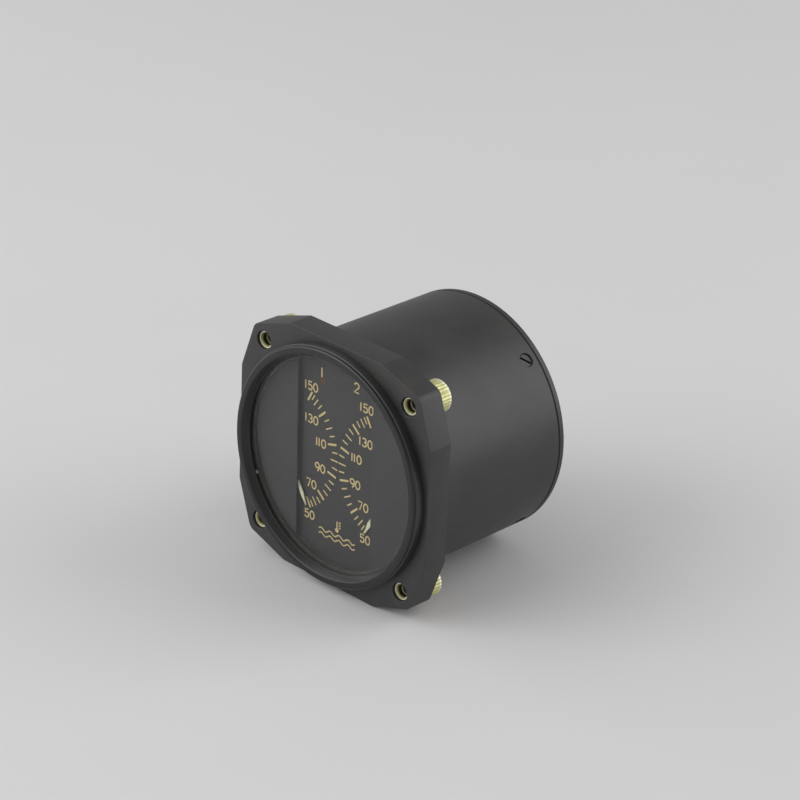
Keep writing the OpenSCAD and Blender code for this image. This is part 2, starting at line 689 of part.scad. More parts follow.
module rear_cover() color(moulding_black) {
    skirt_r = bore_r - slip;
    difference() {
        turned([[0, cover_y], [skirt_r - skirt_wall, cover_y], [skirt_r - skirt_wall, cover_y - skirt_l],
            [skirt_r, cover_y - skirt_l], [skirt_r, cover_y], [case_r, cover_y],
            [case_r, rear_y - 0.5], [case_r - 0.5, rear_y], [0, rear_y]]);
        bar(socket_d + 2 * slip, cover_y - over, cover_t + 2 * over);
        for (c = corners)
            bar(socket_screw_d, cover_y - over, cover_t + 2 * over,
                socket_screw_span / 2 * c[0], socket_screw_span / 2 * c[1]);
        for (a = screw_angles) outward(a, screw_y)
            translate([0, 0, skirt_r - skirt_wall - over])
                cylinder(d = cover_screw_d, h = skirt_wall + 2 * over);
    }
}

module cover_seal() color("#141414")
    washer(bore_r + slip, case_r - 0.15, case_l, cover_seal_t);

module cover_screws() color(steel) for (a = screw_angles) outward(a, screw_y) difference() {
    union() {
        translate([0, 0, case_r - case_wall - skirt_wall])
            cylinder(d = cover_screw_d - 2 * snug, h = case_wall + skirt_wall - cover_screw_sink);
        screw_head(0, cover_head_d, screw_rim_l);
    }
    translate([0, 0, case_r - cover_screw_sink]) rotate(-45)
        cube([0.8, 2 * cover_head_d, 2 * cover_slot_l], center = true);
}

module connector_shell() color(aluminium) {
    thread_y = rear_y + socket_flange_t + 4;
    pitch = 1.27;
    turns = floor((socket_rear_y - thread_y - 0.6) / pitch);
    difference() {
        union() {
            sheet(rear_y, socket_flange_t) rounded_square(socket_flange_w, 2);
            turned(concat([[0, cover_y - 2], [socket_d / 2, cover_y - 2], [socket_d / 2, thread_y]],
                [for (k = [0:turns - 1]) each [[socket_d / 2 - 0.6, thread_y + pitch * (k + 0.5)],
                    [socket_d / 2, thread_y + pitch * (k + 1)]]],
                [[socket_d / 2, socket_rear_y - 0.5], [socket_d / 2 - 0.5, socket_rear_y],
                    [0, socket_rear_y]]));
        }
        bar(socket_bore_d, cover_y - 3, socket_l + cover_t + 3 + over);
        for (c = corners) bar(3, rear_y - over, socket_flange_t + 2 * over,
            socket_screw_span / 2 * c[0], socket_screw_span / 2 * c[1]);
    }
}

module connector_insert() color("#1d2a24") difference() {
    bar(socket_bore_d - 2 * slip, insert_y, insert_rear_y - insert_y);
    for (p = pin_spots)
        bar(pin_d + 2 * snug, insert_y - over, insert_rear_y - insert_y + 2 * over, p[0], p[1]);
}

module connector_pins() color(brass) for (p = pin_spots) {
    bar(pin_d, pin_front_y, pin_rear_y - pin_front_y - pin_taper, p[0], p[1]);
    cone(pin_d, pin_d - pin_taper, pin_rear_y - pin_taper, pin_taper, p[0], p[1]);
}

module connector_screws() color(steel) for (c = corners)
    translate([socket_screw_span / 2 * c[0], 0, socket_screw_span / 2 * c[1]]) difference() {
        union() {
            bar(socket_screw_d - 2 * snug, cover_y - 1, cover_t + socket_flange_t + 1);
            bar(4.6, rear_y + socket_flange_t, 1.5);
        }
        translate([-3, rear_y + socket_flange_t + 0.8, -0.35]) cube([6, over, 0.7]);
    }

case();
panel_inserts();
bezel_ring();
glass_seal();
glass();
front_spacer_ring();
turned_in_case() mask(left);  // left_mask
turned_in_case() mask(right);  // right_mask
rear_spacer_ring();
turned_in_case() dial();
turned_in_case() scale_marks();
turned_in_case() dial_screws();
turned_in_case() stop_pins();
turned_in_case() needle(left);  // left_needle
turned_in_case() needle(right);  // right_needle
turned_in_case() balance_weight(left);  // left_balance_weight
turned_in_case() balance_weight(right);  // right_balance_weight
turned_in_case() staff(left);  // left_staff
turned_in_case() staff(right);  // right_staff
turned_in_case() rotor_magnet(left);  // left_rotor_magnet
turned_in_case() rotor_magnet(right);  // right_rotor_magnet
turned_in_case() damping_cup(left);  // left_damping_cup
turned_in_case() damping_cup(right);  // right_damping_cup
turned_in_case() stator(left);  // left_stator
turned_in_case() stator(right);  // right_stator
turned_in_case() coils(left);  // left_coils
turned_in_case() coils(right);  // right_coils
turned_in_case() front_jewel(left);  // left_front_jewel
turned_in_case() front_jewel(right);  // right_front_jewel
turned_in_case() jewel_screw(left);  // left_jewel_screw
turned_in_case() jewel_screw(right);  // right_jewel_screw
turned_in_case() jewel_locknuts();
turned_in_case() pull_off_magnet(left);  // left_pull_off_magnet
turned_in_case() pull_off_magnet(right);  // right_pull_off_magnet
turned_in_case() dial_posts();
turned_in_case() front_plate();
turned_in_case() rear_plate();
turned_in_case() spacers(front_plate_y + front_plate_t, front_spacer_l);  // front_spacers
turned_in_case() spacers(stator_y + stator_t, rear_spacer_l);  // rear_spacers
turned_in_case() tie_screws();
turned_in_case() board_posts();
turned_in_case() terminal_board();
turned_in_case() board_screws();
turned_in_case() resistor_spools();
turned_in_case() resistor_windings();
turned_in_case() solder_turrets();
turned_in_case() coil_leads();
turned_in_case() connector_leads();
turned_in_case() rear_cover();
cover_seal();
turned_in_case() cover_screws();
turned_in_case() connector_shell();
turned_in_case() connector_insert();
turned_in_case() connector_pins();
turned_in_case() connector_screws();
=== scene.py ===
"""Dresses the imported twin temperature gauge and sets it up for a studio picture.

The dial faces -Y, +X is to the right as the dial is read, +Z is up. The origin is the centre of the
four panel screw holes on the front face of the flange. Sizes are in metres, as Blender has them.
"""

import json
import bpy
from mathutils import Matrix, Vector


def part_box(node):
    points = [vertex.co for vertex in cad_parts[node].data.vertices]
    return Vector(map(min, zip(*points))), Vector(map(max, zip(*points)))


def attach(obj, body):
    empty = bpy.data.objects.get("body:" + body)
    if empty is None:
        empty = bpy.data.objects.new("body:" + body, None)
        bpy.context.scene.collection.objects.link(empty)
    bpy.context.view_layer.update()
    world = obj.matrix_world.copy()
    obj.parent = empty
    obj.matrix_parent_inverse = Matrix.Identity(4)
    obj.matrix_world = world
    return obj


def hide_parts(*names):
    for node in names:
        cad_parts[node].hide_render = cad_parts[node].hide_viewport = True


bl_info = {
    "name": "Twin temperature gauge",
    "version": (1, 0, 0),
    "blender": (4, 5, 0),
    "location": "3D View > Sidebar > Gauge",
    "description": "Models the case, bezel, fixings and figures of a twin gauge and finishes them",
    "category": "Add Mesh",
}

from math import atan2, cos, pi, radians, sin, tan

import bmesh
import bpy
from mathutils import Matrix, Vector

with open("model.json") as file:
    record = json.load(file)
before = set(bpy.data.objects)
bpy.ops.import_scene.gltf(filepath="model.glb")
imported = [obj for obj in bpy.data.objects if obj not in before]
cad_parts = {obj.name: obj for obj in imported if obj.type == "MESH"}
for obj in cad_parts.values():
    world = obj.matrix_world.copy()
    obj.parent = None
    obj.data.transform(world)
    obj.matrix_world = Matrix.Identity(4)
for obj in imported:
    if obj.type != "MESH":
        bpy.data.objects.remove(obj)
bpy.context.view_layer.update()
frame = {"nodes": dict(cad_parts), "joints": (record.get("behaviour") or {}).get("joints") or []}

MM = 0.001
HOUSING = "housing"
NODES = frame["nodes"]


def bounds_of(node):
    """Lowest and highest corner of a CAD node."""
    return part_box(node)


CASE_LOW, CASE_HIGH = bounds_of("case")
FLANGE_WIDTH = CASE_HIGH.x - CASE_LOW.x
CASE_REAR = CASE_HIGH.y
CASE_RADIUS = bounds_of("rear_cover")[1].x
COVER_REAR = bounds_of("rear_cover")[1].y
RING_FACE = bounds_of("bezel_ring")[0].y
RING_RADIUS = bounds_of("bezel_ring")[1].x
GLASS_FRONT = bounds_of("glass")[0].y
SEAL_FRONT = bounds_of("glass_seal")[0].y
DIAL_FRONT = bounds_of("dial")[0].y
DIAL_REAR = bounds_of("dial")[1].y
# Radius of the bore that holds the glass, the spacer rings and the dial
STACK_RADIUS = bounds_of("glass")[1].x + 0.1 * MM
INSERT_FRONT = bounds_of("panel_inserts")[0].y
HEAD_FRONT, HEAD_REAR = 9 * MM, bounds_of("panel_inserts")[1].y
PIVOTS = {joint["name"].removesuffix("_swing"): Vector(joint["pos_m"]) for joint in frame["joints"]}
DIAL_TURN = atan2(PIVOTS["right_needle"].z, PIVOTS["right_needle"].x)

# The bezel ring's edge stands over the collar's chamfer. LIP is the inner radius of the collar's
# lip, and LIP_FRONT is the depth of its front.
RING_EDGE = RING_RADIUS + 0.2 * MM
LIP = RING_EDGE + 0.02 * MM
LIP_FRONT = RING_FACE + 0.85 * MM
# How deep in each insert the thread starts
THREAD_DEPTH = 2.4 * MM
# Signs of x and z at the four panel screws
CORNERS = [(x, z) for x in (-1, 1) for z in (-1, 1)]
COVER_SCREW_Y = (bounds_of("cover_screws")[0].y + bounds_of("cover_screws")[1].y) / 2
COVER_SCREW_ANGLES = [radians(45 + 90 * k) + DIAL_TURN for k in range(4)]
# Outlines of a cover screw's hole and of the screw, from the inside out, in mm: the radius, and the
# height over the side of the case for the hole, or over the top of the head for the screw
SCREW_HOLE = ((1.47, -6), (1.47, -1.55), (2.25, -0.65), (2.42, -0.65), (2.45, -0.1), (2.55, 0.5))
SCREW = ((1.4, -5.4), (1.4, -1.05), (2.2, -0.15), (2.18, -0.06), (2.1, 0))
# How thick the painted figures stand on the dial
PAINT = 0.1 * MM
# Places this close count as the same, and points this close are merged
NEAR, WELD = 0.01 * MM, 0.0005 * MM
# Inputs and output of a Mix node that mixes colours, as its other kinds have the same names
MIX_SHARE, MIX_UNDER, MIX_OVER, MIX_RESULT = 0, 6, 7, 2


def hex_colour(text):
    """Turns an sRGB hex colour to the linear values that Blender works in."""
    channels = [int(text[k : k + 2], 16) / 255 for k in (0, 2, 4)]
    linear = [c / 12.92 if c <= 0.04045 else ((c + 0.055) / 1.055) ** 2.4 for c in channels]
    return (*linear, 1.0)


def length_property(name, description, millimetres):
    """A size that a user may change."""
    return bpy.props.FloatProperty(
        name=name,
        description=description,
        default=millimetres * MM,
        subtype="DISTANCE",
        precision=5,
    )


def colour_property(name, description, text):
    """A colour that a user may change."""
    return bpy.props.FloatVectorProperty(
        name=name,
        description=description,
        default=hex_colour(text),
        size=4,
        subtype="COLOR",
        min=0,
        max=1,
    )


class GaugeSizes(bpy.types.PropertyGroup):
    """Sizes of the outside of the gauge"""

    flange_thickness: length_property("Flange thickness", "Front to back of the square flange", 9)
    flange_flat: length_property("Flange flat", "Length of the flat middle of each side", 40)
    corner_radius: length_property("Corner radius", "Radius at the tip of each corner", 3)
    corner_slope: bpy.props.FloatProperty(
        name="Corner slope",
        description="How steeply each side falls away to its corner",
        default=radians(19),
        subtype="ANGLE",
    )
    edge_round: length_property("Edge rounding", "Rounding of the moulded edges", 0.16)
    bolt_span: length_property("Bolt span", "Distance between the panel screws", 62.865)
    bolt_bore: length_property("Insert bore", "Bore of the threaded inserts", 3.5)
    head_diameter: length_property("Insert head", "Diameter of the knurled heads", 10.5)
    window_radius: length_property("Window radius", "Inner radius of the bezel ring", 35.6)
    stroke: length_property("Stroke", "Width of the strokes of the figures", 0.5)
    figure_height: length_property("Figure height", "Height of the numbers on the dial", 2.75)


class GaugeColours(bpy.types.PropertyGroup):
    """Colours of the finishes"""

    moulding: colour_property("Moulding", "Black phenolic of the case", "28282a")
    moulding_worn: colour_property("Worn moulding", "Phenolic where its skin has dulled", "333230")
    enamel: colour_property("Bezel enamel", "Black enamel of the bezel ring", "151517")
    dial_black: colour_property("Dial black", "Matt black of the dial", "2f2f30")
    mask_black: colour_property("Mask black", "Matt black of the masks", "2d2d2e")
    ring_black: colour_property("Ring black", "Matt black of the spacer rings", "3a3937")
    figures: colour_property("Figures", "Aged luminous paint of the figures and marks", "e8d194")
    needle: colour_property("Needle", "Aged luminous paint of the needles", "eeebcb")
    passivated: colour_property("Passivated brass", "Yellow-green skin of the inserts", "d3d195")
    floor: colour_property("Floor", "Pale sweep under the gauge", "d2d1d1")


def add_node(material, kind, sockets=None, **settings):
    """Adds a node with its settings, and sets or links the sockets named for it."""
    tree = material.node_tree
    node = tree.nodes.new(kind)
    for name, value in settings.items():
        setattr(node, name, value)
    for key, value in (sockets or {}).items():
        if isinstance(value, bpy.types.NodeSocket):
            tree.links.new(value, node.inputs[key])
        else:
            node.inputs[key].default_value = value
    return node


def shade(base, factor):
    """The same colour, lighter or darker by a factor."""
    return (*[min(1, c * factor) for c in base[:3]], 1)


def new_finish(name, colours, patch, rough, bump, metallic=0.0):
    """A finish that is clouded between two colours, with its grain in the bump and the gloss.

    patch is the size of the clouds, rough the lowest and highest roughness, and bump the size of
    the grain and its height.
    """
    material = bpy.data.materials.new(name)
    material.use_nodes = True
    shader = material.node_tree.nodes["Principled BSDF"]
    place = add_node(material, "ShaderNodeTexCoord").outputs["Object"]
    clouds = add_node(
        material,
        "ShaderNodeTexNoise",
        {"Vector": place, "Scale": 1 / patch, "Detail": 6.0, "Roughness": 0.62},
    ).outputs["Fac"]
    spread = add_node(
        material, "ShaderNodeMapRange", {"Value": clouds, "From Min": 0.35, "From Max": 0.65}
    )
    tint = add_node(
        material,
        "ShaderNodeMix",
        {MIX_SHARE: spread.outputs["Result"], MIX_UNDER: colours[0], MIX_OVER: colours[1]},
        data_type="RGBA",
    )
    grain_size, grain_height = bump
    grain = add_node(
        material, "ShaderNodeTexNoise", {"Vector": place, "Scale": 1 / grain_size, "Detail": 3.0}
    )
    lowest, highest = rough
    gloss = add_node(
        material,
        "ShaderNodeMapRange",
        {"Value": clouds, "From Min": 0.3, "From Max": 0.7, "To Min": lowest, "To Max": highest},
    )
    relief = add_node(
        material,
        "ShaderNodeBump",
        {"Height": grain.outputs["Fac"], "Distance": grain_height, "Strength": 1.0},
    )
    tree = material.node_tree
    tree.links.new(tint.outputs[MIX_RESULT], shader.inputs["Base Color"])
    tree.links.new(gloss.outputs["Result"], shader.inputs["Roughness"])
    tree.links.new(relief.outputs["Normal"], shader.inputs["Normal"])
    shader.inputs["Metallic"].default_value = metallic
    return material


def paint_over(material, colour, value, start, end):
    """Lays a colour over a finish: none where a value is at start, all where it is at end."""
    tree = material.node_tree
    shader = tree.nodes["Principled BSDF"]
    under = shader.inputs["Base Color"].links[0].from_socket
    share = add_node(
        material, "ShaderNodeMapRange", {"Value": value, "From Min": start, "From Max": end}
    )
    mixed = add_node(
        material,
        "ShaderNodeMix",
        {MIX_SHARE: share.outputs["Result"], MIX_UNDER: under, MIX_OVER: colour},
        data_type="RGBA",
    )
    tree.links.new(mixed.outputs[MIX_RESULT], shader.inputs["Base Color"])


def distance_to_axis(material, place, x, z):
    """How far each place is from an axis that runs from front to back."""
    flat = add_node(
        material, "ShaderNodeVectorMath", {0: place, 1: (1, 0, 1)}, operation="MULTIPLY"
    )
    return add_node(
        material,
        "ShaderNodeVectorMath",
        {0: flat.outputs["Vector"], 1: (x, 0, z)},
        operation="DISTANCE",
    ).outputs["Value"]


def add_specks(material, colour, size, share, seed):
    """Scatters small specks of a colour over a finish. share is how much of it they cover."""
    soft_edge = 0.05
    place = add_node(material, "ShaderNodeTexCoord").outputs["Object"]
    shifted = add_node(
        material, "ShaderNodeMapping", {"Vector": place, "Location": (seed, seed, seed)}
    )
    dots = add_node(
        material,
        "ShaderNodeTexNoise",
        {"Vector": shifted.outputs["Vector"], "Scale": 1 / size, "Detail": 2.0, "Roughness": 0.4},
    )
    paint_over(material, colour, dots.outputs["Fac"], 1 - share, 1 - share + soft_edge)
    return material


def dress(material, *nodes):
    """Gives CAD nodes their finish."""
    for name in nodes:
        slots = NODES[name].data.materials
        slots.clear()
        slots.append(material)


def clear_selection():
    if bpy.context.object and bpy.context.object.mode != "OBJECT":
        bpy.ops.object.mode_set(mode="OBJECT")
    bpy.ops.object.select_all(action="DESELECT")


def select_only(piece):
    clear_selection()
    piece.select_set(True)
    bpy.context.view_layer.objects.active = piece


def lathe(name, outline, sides, solid=False):
    """Turns a part on the Y axis.

    A circle is extruded and scaled from each point of the outline, a radius and a depth, to the
    next. A solid part runs from cap to cap, any other part closes on its own first point.
    """
    clear_selection()
    radius, depth = outline[0]
    bpy.ops.mesh.primitive_circle_add(
        vertices=sides,
        radius=radius,
        fill_type="NGON" if solid else "NOTHING",
        location=(0, depth, 0),
        rotation=(pi / 2, 0, 0),
    )
    piece = bpy.context.object
    piece.name = name
    bpy.ops.object.transform_apply(location=True, rotation=True, scale=True)
    bpy.ops.object.mode_set(mode="EDIT")
    bpy.ops.mesh.select_all(action="SELECT")
    for next_radius, next_depth in outline[1:] + ([] if solid else outline[:1]):
        offset = (0, next_depth - depth, 0)
        bpy.ops.mesh.extrude_region_move(TRANSFORM_OT_translate={"value": offset})
        growth = next_radius / radius
        bpy.ops.transform.resize(value=(growth, 1, growth), center_override=(0, next_depth, 0))
        radius, depth = next_radius, next_depth
    bpy.ops.mesh.select_all(action="SELECT")
    bpy.ops.mesh.remove_doubles(threshold=WELD)
    bpy.ops.mesh.normals_make_consistent(inside=False)
    bpy.ops.object.mode_set(mode="OBJECT")
    return piece


def move_mesh(piece, offset):
    """Moves the mesh of a piece, whose object stays at the origin."""
    select_only(piece)
    bpy.ops.object.mode_set(mode="EDIT")
    bpy.ops.mesh.select_all(action="SELECT")
    bpy.ops.transform.translate(value=offset)
    bpy.ops.object.mode_set(mode="OBJECT")


def point_outward(piece, angle):
    """Turns a part made on the Y axis to point out of the case, at an angle from +X."""
    select_only(piece)
    turn = Matrix.Rotation(-angle, 4, "Y") @ Matrix.Rotation(-pi / 2, 4, "Z")
    piece.matrix_world = Matrix.Translation((0, COVER_SCREW_Y, 0)) @ turn
    bpy.ops.object.transform_apply(location=True, rotation=True, scale=True)


def join(pieces, name):
    clear_selection()
    for piece in pieces:
        piece.select_set(True)
    bpy.context.view_layer.objects.active = pieces[0]
    bpy.ops.object.join()
    pieces[0].name = name
    return pieces[0]


def copy_out(first, name, move, places):
    """Copies a part from the origin, each copy with its own mesh, moves them and joins them."""
    pieces = []
    for place in places:
        select_only(first)
        bpy.ops.object.duplicate(linked=False)
        piece = bpy.context.object
        move(piece, place)
        pieces.append(piece)
    bpy.data.objects.remove(first)
    return join(pieces, name)


def copy_to_corners(first, half_span, name):
    """Copies a part to the four panel screws."""
    return copy_out(first, name, move_mesh, [(x * half_span, 0, z * half_span) for x, z in CORNERS])


def copy_to_cover_screws(first, name):
    """Copies a part to the four cover screws."""
    return copy_out(first, name, point_outward, COVER_SCREW_ANGLES)


def combine(piece, tool, operation):
    """Cuts a tool out of a piece, adds it, or keeps what lies in both."""
    select_only(piece)
    modifier = piece.modifiers.new("combine", "BOOLEAN")
    modifier.operation = operation
    modifier.solver = "EXACT"
    modifier.object = tool
    bpy.ops.object.modifier_apply(modifier="combine")
    bpy.data.objects.remove(tool)


def finish_piece(piece, name, body, material, replaced=(), smooth=radians(17)):
    """Gives a finished piece its name, finish and body, and hides the CAD nodes it replaces."""
    select_only(piece)
    piece.name = piece.data.name = name
    bpy.ops.object.transform_apply(location=True, rotation=True, scale=True)
    bpy.ops.object.shade_smooth_by_angle(angle=smooth)
    piece.data.materials.clear()
    piece.data.materials.append(material)
    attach(piece, body)
    if replaced:
        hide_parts(*replaced)


def rounded(points, radius, steps=4):
    """The inner corners of an open line, each rounded over at most 0.4 of the sides beside it."""
    result = []
    for corner in zip(points, points[1:], points[2:]):
        before, here, after = (Vector(point) for point in corner)
        to_before, to_after = before - here, after - here
        reach = min(radius, 0.4 * to_before.length, 0.4 * to_after.length)
        start, end = here + to_before.normalized() * reach, here + to_after.normalized() * reach
        for step in range(steps + 1):
            t = step / steps
            result.append(tuple((1 - t) ** 2 * start + 2 * t * (1 - t) * here + t * t * end))
    return result


def quarter_round(radius, depth, reach, steps=8):
    """Points on a rounded edge, from its front, at a depth, out to its side, at a radius."""
    turns = [k / steps * pi / 2 for k in range(steps + 1)]
    return [(radius - reach * (1 - sin(a)), depth + reach * (1 - cos(a))) for a in turns]


def runs_back(a, b):
    """Whether an edge runs from front to back."""
    return abs(a.x - b.x) < NEAR and abs(a.z - b.z) < NEAR


def near_diagonal(a):
    return abs(abs(a.x) - abs(a.z)) < NEAR


def near_flat_end(a, sizes):
    return abs(min(abs(a.x), abs(a.z)) - sizes.flange_flat / 2) < NEAR


def round_edges(piece, wanted, offset, segments):
    """Bevels the edges whose two ends a test picks."""
    select_only(piece)
    bpy.ops.object.mode_set(mode="EDIT")
    bpy.ops.mesh.select_mode(type="EDGE")
    bpy.ops.mesh.select_all(action="DESELECT")
    shape = bmesh.from_edit_mesh(piece.data)
    for edge in shape.edges:
        edge.select_set(wanted(edge.verts[0].co, edge.verts[1].co))
    bmesh.update_edit_mesh(piece.data)
    bpy.ops.mesh.bevel(offset=offset, segments=segments, profile=0.5, affect="EDGES")
    bpy.ops.mesh.select_mode(type="VERT")
    bpy.ops.object.mode_set(mode="OBJECT")


def make_flange(sizes):
    """The square flange: a block with its corners cut back, and its edges rounded."""
    clear_selection()
    half, depth = FLANGE_WIDTH / 2, sizes.flange_thickness
    bpy.ops.mesh.primitive_cube_add(
        size=1, location=(0, depth / 2, 0), scale=(FLANGE_WIDTH, depth, FLANGE_WIDTH)
    )
    flange = bpy.context.object
    bpy.ops.object.transform_apply(location=True, rotation=True, scale=True)
    bpy.ops.object.mode_set(mode="EDIT")
    for quarter in range(4):
        for side in (-1, 1):
            facing = quarter * pi / 2
            along = Matrix.Rotation(-facing, 3, "Y")
            point = along @ Vector((half, 0, side * sizes.flange_flat / 2))
            normal = along @ Vector((cos(sizes.corner_slope), 0, side * sin(sizes.corner_slope)))
            bpy.ops.mesh.select_all(action="SELECT")
            bpy.ops.mesh.bisect(plane_co=point, plane_no=normal, use_fill=True, clear_outer=True)
    tip = sizes.corner_radius * tan(pi / 4 - sizes.corner_slope)
    flat_end = 0.3 * MM
    round_edges(flange, lambda a, b: runs_back(a, b) and near_diagonal(a), tip, 8)
    round_edges(flange, lambda a, b: runs_back(a, b) and near_flat_end(a, sizes), flat_end, 2)
    round_edges(flange, lambda a, b: abs(a.y - b.y) < NEAR, sizes.edge_round, 6)
    return flange


# Softboxes: name, place, width and height in metres, and power in watts
LAMPS = (
    ("rear_softbox", (0.81, 0.90, 0.60), (1.1, 1.35), 9.2),
    ("left_softbox", (-1.2, -0.7, 0.7), (1.8, 1.8), 10.1),
    ("front_softbox", (-0.7, -1.35, 0.8), (1.4, 1.4), 14.3),
)
LAMP_TARGET = (0, 0.02, 0)
FLOOR_SIZE = 9
# The picture's view: where the camera stands in mm, which way it looks, which way is up in the
# picture, and its focal length and sensor width in mm
CAMERA_PLACE = (587.12, -589.17, 420.07)
CAMERA_FORWARD = (-0.62138, 0.65462, -0.43054)
CAMERA_UP = (-0.3298, 0.27993, 0.9016)
FOCAL_LENGTH, SENSOR_WIDTH = 135.95, 36


class GAUGE_OT_stage(bpy.types.Operator):
    """Lays the floor, hangs the lamps and sets the camera at the picture's viewing angle"""

    bl_idname = "gauge.stage"
    bl_label = "Stage"
    bl_options = {"REGISTER", "UNDO"}

    def execute(self, context):
        self.lay_floor(context.scene.gauge_colours)
        self.hang_lamps()
        self.set_camera(context)
        self.light_world(context)
        context.scene.view_settings.view_transform = "Standard"
        return {"FINISHED"}

    def lay_floor(self, colours):
        """The gauge stands on the lower edge of its flange and the rim of its cover."""
        foot = Vector((0, HEAD_FRONT, -FLANGE_WIDTH / 2))
        rim = Vector((0, COVER_REAR - 0.5 * MM, -CASE_RADIUS))
        tilt = atan2(rim.z - foot.z, rim.y - foot.y)
        clear_selection()
        bpy.ops.mesh.primitive_plane_add(size=FLOOR_SIZE, location=foot, rotation=(tilt, 0, 0))
        floor = bpy.context.object
        floor.name = "floor"
        # Studio paper, calendered: matt and even
        material = new_finish(
            "matt_paper_sweep",
            (shade(colours.floor, 0.99), shade(colours.floor, 1.01)),
            patch=0.3,
            rough=(0.7, 0.8),
            bump=(2 * MM, 0.002 * MM),
        )
        floor.data.materials.append(material)

    def hang_lamps(self):
        for name, place, size, power in LAMPS:
            aim = (Vector(LAMP_TARGET) - Vector(place)).to_track_quat("-Z", "Y")
            bpy.ops.object.light_add(type="AREA", location=place, rotation=aim.to_euler())
            lamp = bpy.context.object
            lamp.name = name
            lamp.data.shape = "RECTANGLE"
            lamp.data.size, lamp.data.size_y = size
            lamp.data.energy = power

    def set_camera(self, context):
        place = Vector(CAMERA_PLACE) * MM
        forward = Vector(CAMERA_FORWARD).normalized()
        right = forward.cross(Vector(CAMERA_UP)).normalized()
        up = right.cross(forward)
        bpy.ops.object.camera_add(location=place)
        camera = bpy.context.object
        turn = Matrix((right, up, -forward)).transposed().to_4x4()
        camera.matrix_world = Matrix.Translation(place) @ turn
        camera.data.sensor_width = SENSOR_WIDTH
        camera.data.lens = FOCAL_LENGTH
        context.scene.camera = camera

    def light_world(self, context):
        world = bpy.data.worlds.new("pale_room")
        context.scene.world = world
        world.use_nodes = True
        background = world.node_tree.nodes["Background"]
        background.inputs["Color"].default_value = hex_colour("d0cfd0")
        background.inputs["Strength"].default_value = 0.75


class GAUGE_OT_case(bpy.types.Operator):
    """Moulds the case: the square flange, the round body, the collar and every hole in them"""

    bl_idname = "gauge.case"
    bl_label = "Case"
    bl_options = {"REGISTER", "UNDO"}

    def execute(self, context):
        sizes = context.scene.gauge_sizes
        case = make_flange(sizes)
        combine(case, self.body(), "UNION")
        combine(case, self.hollow(), "DIFFERENCE")
        combine(case, self.insert_holes(sizes), "DIFFERENCE")
        combine(case, self.screw_holes(), "DIFFERENCE")
        moulding = phenolic(context.scene.gauge_colours)
        finish_piece(case, "case_moulding", HOUSING, moulding, ["case"])
        dress(moulding, "rear_cover")
        return {"FINISHED"}

    def body(self):
        """The round body with its collar, whose thin lip is rounded."""
        chamfer = 0.3 * MM
        front = quarter_round(CASE_RADIUS, LIP_FRONT, CASE_RADIUS - LIP)
        rear = [(CASE_RADIUS, CASE_REAR - chamfer), (CASE_RADIUS - chamfer, CASE_REAR)]
        return lathe("body", front + rear, sides=192, solid=True)

    def hollow(self):
        """The bore: collar, seat of the glass and dial, shelf, and the wide rear."""
        lip_bore, ring_bore = LIP + 0.03 * MM, RING_RADIUS + 0.05 * MM
        shelf_bore, rear_bore = CASE_RADIUS - 4.5 * MM, CASE_RADIUS - 2.8 * MM
        shelf_rear, taper_rear = DIAL_REAR + 2 * MM, DIAL_REAR + 3.7 * MM
        outline = [
            (lip_bore, RING_FACE - MM),
            (lip_bore, LIP_FRONT - 0.1 * MM),
            (ring_bore, LIP_FRONT + 0.25 * MM),
            (ring_bore, SEAL_FRONT),
            (STACK_RADIUS, SEAL_FRONT),
            (STACK_RADIUS, DIAL_REAR),
            (shelf_bore, DIAL_REAR),
            (shelf_bore, shelf_rear),
            (rear_bore, taper_rear),
            (rear_bore, CASE_REAR + MM),
        ]
        return lathe("hollow", outline, sides=192, solid=True)

    def insert_holes(self, sizes):
        """A stepped hole for each insert, with a soft edge at its mouth."""
        mouth, shank, slack = 3.1 * MM, 2.8 * MM, 0.05 * MM
        head = sizes.head_diameter / 2 + slack
        outline = [
            (mouth + 0.25 * MM, -0.1 * MM),
            (mouth + 0.15 * MM, 0),
            (mouth + 0.04 * MM, 0.05 * MM),
            (mouth, 0.15 * MM),
            (mouth, INSERT_FRONT),
            (shank, INSERT_FRONT),
            (shank, HEAD_FRONT),
            (head, HEAD_FRONT),
            (head, HEAD_REAR + slack),
        ]
        first = lathe("insert_hole", outline, sides=64, solid=True)
        return copy_to_corners(first, sizes.bolt_span / 2, "insert_holes")

    def screw_holes(self):
        """Countersunk and counterbored holes for the cover screws."""
        outline = [(radius * MM, CASE_RADIUS + height * MM) for radius, height in SCREW_HOLE]
        first = lathe("screw_hole", outline, sides=48, solid=True)
        return copy_to_cover_screws(first, "screw_holes")


def phenolic(colours):
    """Black phenolic, compression moulded: a satin skin, dulled in patches, with filler specks."""
    material = new_finish(
        "moulded_phenolic",
        (colours.moulding, colours.moulding_worn),
        patch=14 * MM,
        rough=(0.40, 0.52),
        bump=(0.5 * MM, 0.006 * MM),
    )
    return add_specks(material, hex_colour("55534c"), size=0.5 * MM, share=0.29, seed=0.0)


